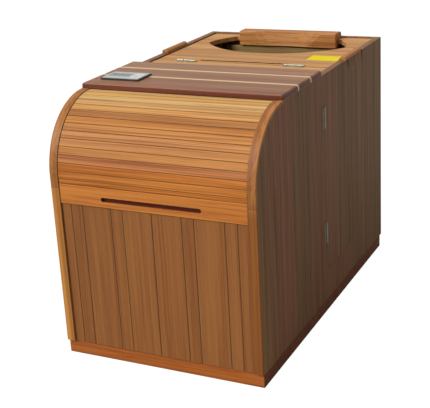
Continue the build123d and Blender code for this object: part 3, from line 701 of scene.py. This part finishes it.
def add_screw(mesh, place, normal, twist):
    """A raised countersunk screw head with a cross recess, standing on a leaf."""
    turn = normal.to_track_quat("Z", "Y").to_matrix().to_4x4() @ Matrix.Rotation(twist, 4, "Z")
    matrix = Matrix.Translation(place) @ turn

    def corner(x, y, z):
        return mesh.verts.new(matrix @ Vector((x, y, z)))

    def walls(lower, upper):
        for index in range(len(lower)):
            after = (index + 1) % len(lower)
            mesh.faces.new((lower[index], lower[after], upper[after], upper[index]))

    def loop_edges(ring):
        return [mesh.edges.get((ring[i], ring[(i + 1) % len(ring)])) for i in range(len(ring))]

    rings = []
    for radius, height in SCREW_PROFILE:
        reach = screw_radius * radius
        angles = [2 * math.pi * index / screw_sides for index in range(screw_sides)]
        rings.append([
            corner(reach * math.cos(angle), reach * math.sin(angle), screw_dome * height)
            for angle in angles
        ])
    for lower, upper in zip(rings, rings[1:]):
        walls(lower, upper)
    arm = [(recess_arm, -recess_half), (recess_arm, recess_half), (recess_half, recess_half)]
    outline = []
    for quarter in range(4):
        spin = Matrix.Rotation(quarter * math.pi / 2, 2)
        outline += [spin @ Vector(point) for point in arm]
    brim = [corner(p.x, p.y, screw_dome) for p in outline]
    bottom = screw_dome - recess_depth
    floor = [corner(p.x * recess_taper, p.y * recess_taper, bottom) for p in outline]
    walls(brim, floor)
    mesh.faces.new(floor)
    border = loop_edges(rings[-1]) + loop_edges(brim)
    bmesh.ops.triangle_fill(mesh, use_beauty=True, edges=border)


def hinge_screws(name, body, steel, places, normal):
    mesh = bmesh.new()
    for index, place in enumerate(places):
        add_screw(mesh, Vector(place), Vector(normal), first_twist + twist_step * index)
    bmesh.ops.recalc_face_normals(mesh, faces=mesh.faces)
    finished(name, mesh, steel, body)


screw_spacing = 0.026
leaf_half = 0.0065
leaf_stand = 0.0015  # a leaf's face above the boards
half_door_gap = 0.0015
door_levels = (0.318, 0.757)
lid_hinge_x = 0.222


def add_hinge_screws(steel):
    """Three screws in each leaf of the door hinges and the lid hinges."""
    steps = (-screw_spacing, 0.0, screw_spacing)
    levels = [level + step for level in door_levels for step in steps]
    for side, sign in (("left", -1), ("right", 1)):
        face_x = sign * (half_width + leaf_stand)
        door_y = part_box(f"door_hinge_leaves_{side}")[1].y - leaf_half
        wall_y = 2 * (door_line - half_door_gap) - door_y
        normal = (sign, 0, 0)
        door_spots = [(face_x, door_y, level) for level in levels]
        wall_spots = [(face_x, wall_y, level) for level in levels]
        hinge_screws(f"door_screws_{side}", f"door_{side}", steel, door_spots, normal)
        hinge_screws(f"wall_screws_{side}", "cabinet", steel, wall_spots, normal)
    lid_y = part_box("lid_hinge_lid_leaves")[1].y - leaf_half
    deck_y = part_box("lid_hinge_deck_leaves")[0].y + leaf_half
    across = [sign * lid_hinge_x + step for sign in (-1, 1) for step in steps]
    face_z = deck_top + leaf_stand
    lid_spots = [(x, lid_y, face_z) for x in across]
    deck_spots = [(x, deck_y, face_z) for x in across]
    hinge_screws("lid_screws", "lid", steel, lid_spots, (0, 0, 1))
    hinge_screws("deck_screws", "cabinet", steel, deck_spots, (0, 0, 1))


label_length = 0.122
label_depth = 0.082
label_thickness = 0.0004
label_skirt = label_thickness * 0.8
label_centre = (0.287, 0.2435)
label_columns = 16
label_rows = 10


def add_label():
    """A blank yellow label near the lid's right rear corner: two sheets joined round the rim."""
    mesh = bmesh.new()
    width = label_columns + 1
    sheets = []
    for height in (label_thickness, label_thickness - label_skirt):
        sheet = []
        for row in range(label_rows + 1):
            for column in range(width):
                x = label_centre[0] + label_length * (column / label_columns - 0.5)
                y = label_centre[1] + label_depth * (row / label_rows - 0.5)
                sheet.append(mesh.verts.new((x, y, deck_top + height)))
        sheets.append(sheet)
    top, under = sheets
    for row in range(label_rows):
        for column in range(label_columns):
            near = row * width + column
            far = near + width
            corners = (near, near + 1, far + 1, far)
            mesh.faces.new([top[index] for index in corners])
            mesh.faces.new([under[index] for index in reversed(corners)])
    rim = list(range(label_columns))
    rim += [label_columns + width * row for row in range(label_rows)]
    rim += [width * label_rows + column for column in range(label_columns, 0, -1)]
    rim += [width * row for row in range(label_rows, 0, -1)]
    for here, after in zip(rim, rim[1:] + rim[:1]):
        mesh.faces.new((under[here], under[after], top[after], top[here]))
    vinyl = sticker("label_vinyl", LABEL_YELLOW, FADED_YELLOW)
    finished("blank_label", mesh, vinyl, "lid")


# ---------------------------------------------------------------- floor, light and camera
floor_half = 40.0
floor_seen = 0.10
floor_glow = 0.97
floor_bounce = 0.42
world_in_gloss = 0.40
world_fill = 0.15

# Each sun's name, the direction towards it, its strength and its angle in degrees.
SUNS = (
    ("key", (-0.50, -0.62, 0.60), 2.1, 24.0),
    ("front", (-0.25, -0.95, 0.05), 0.9, 80.0),
    ("top", (0.05, 0.25, 1.0), 1.0, 70.0),
)

sensor_width = 36.0
focal_share = 2.371
camera_place = (1.5862, -3.3514, 1.7268)
camera_yaw = math.radians(26.49)
camera_pitch = math.radians(18.60)
camera_roll = math.radians(-3.21)
frame_drop = -0.0558


def grey(level):
    return (level, level, level, 1)


def floor_paint():
    """Near white where the camera sees it, and dim to what it lights."""
    material = bpy.data.materials.new("floor_paint")
    material.use_nodes = True
    tree = material.node_tree
    tree.nodes.clear()
    output = tree.nodes.new("ShaderNodeOutputMaterial")
    seen = tree.nodes.new("ShaderNodeAddShader")
    pale = tree.nodes.new("ShaderNodeBsdfDiffuse")
    pale.inputs["Color"].default_value = grey(floor_seen)
    glow = tree.nodes.new("ShaderNodeEmission")
    glow.inputs["Color"].default_value = grey(1)
    glow.inputs["Strength"].default_value = floor_glow
    dim = tree.nodes.new("ShaderNodeBsdfDiffuse")
    dim.inputs["Color"].default_value = grey(floor_bounce)
    path = tree.nodes.new("ShaderNodeLightPath")
    choose = tree.nodes.new("ShaderNodeMixShader")
    tree.links.new(pale.outputs[0], seen.inputs[0])
    tree.links.new(glow.outputs[0], seen.inputs[1])
    tree.links.new(path.outputs["Is Camera Ray"], choose.inputs[0])
    tree.links.new(dim.outputs[0], choose.inputs[1])
    tree.links.new(seen.outputs[0], choose.inputs[2])
    tree.links.new(choose.outputs[0], output.inputs["Surface"])
    return material


def add_floor():
    mesh = bmesh.new()
    bmesh.ops.create_grid(mesh, x_segments=1, y_segments=1, size=floor_half)
    floor = solid("floor", mesh, floor_paint())


def add_world():
    """White surroundings: full white to the camera, softer in reflections, dim as fill light."""
    world = bpy.data.worlds.new("studio")
    bpy.context.scene.world = world
    world.use_nodes = True
    tree = world.node_tree
    background = tree.nodes["Background"]
    background.inputs["Color"].default_value = grey(1)
    path = tree.nodes.new("ShaderNodeLightPath")
    gloss = tree.nodes.new("ShaderNodeMath")
    gloss.operation = "MULTIPLY_ADD"
    gloss.inputs[1].default_value = world_in_gloss
    gloss.inputs[2].default_value = world_fill
    total = tree.nodes.new("ShaderNodeMath")
    total.operation = "ADD"
    tree.links.new(path.outputs["Is Glossy Ray"], gloss.inputs[0])
    tree.links.new(path.outputs["Is Camera Ray"], total.inputs[0])
    tree.links.new(gloss.outputs[0], total.inputs[1])
    tree.links.new(total.outputs[0], background.inputs["Strength"])


def add_suns():
    for name, towards, strength, softness in SUNS:
        data = bpy.data.lights.new(name, "SUN")
        data.energy = strength
        data.angle = math.radians(softness)
        lamp = bpy.data.objects.new(name, data)
        lamp.rotation_euler = Vector(towards).to_track_quat("Z", "Y").to_euler()
        bpy.context.scene.collection.objects.link(lamp)


def add_camera():
    data = bpy.data.cameras.new("camera")
    data.sensor_width = sensor_width
    data.lens = focal_share * sensor_width
    data.shift_y = frame_drop
    camera = bpy.data.objects.new("camera", data)
    look_down = Matrix.Rotation(math.pi / 2 - camera_pitch, 4, "X")
    roll = Matrix.Rotation(camera_roll, 4, "Z")
    turn = Matrix.Rotation(camera_yaw, 4, "Z") @ look_down @ roll
    camera.matrix_world = Matrix.Translation(camera_place) @ turn
    bpy.context.scene.collection.objects.link(camera)
    bpy.context.scene.camera = camera


dress_shell()
dress_top_and_inside()
satin_steel = satin_metal("satin_steel", STEEL, 0.34)
dress_hardware(satin_steel)
add_hinge_screws(satin_steel)
add_label()
add_floor()
add_world()
add_suns()
bpy.context.scene.view_settings.view_transform = "Standard"
add_camera()
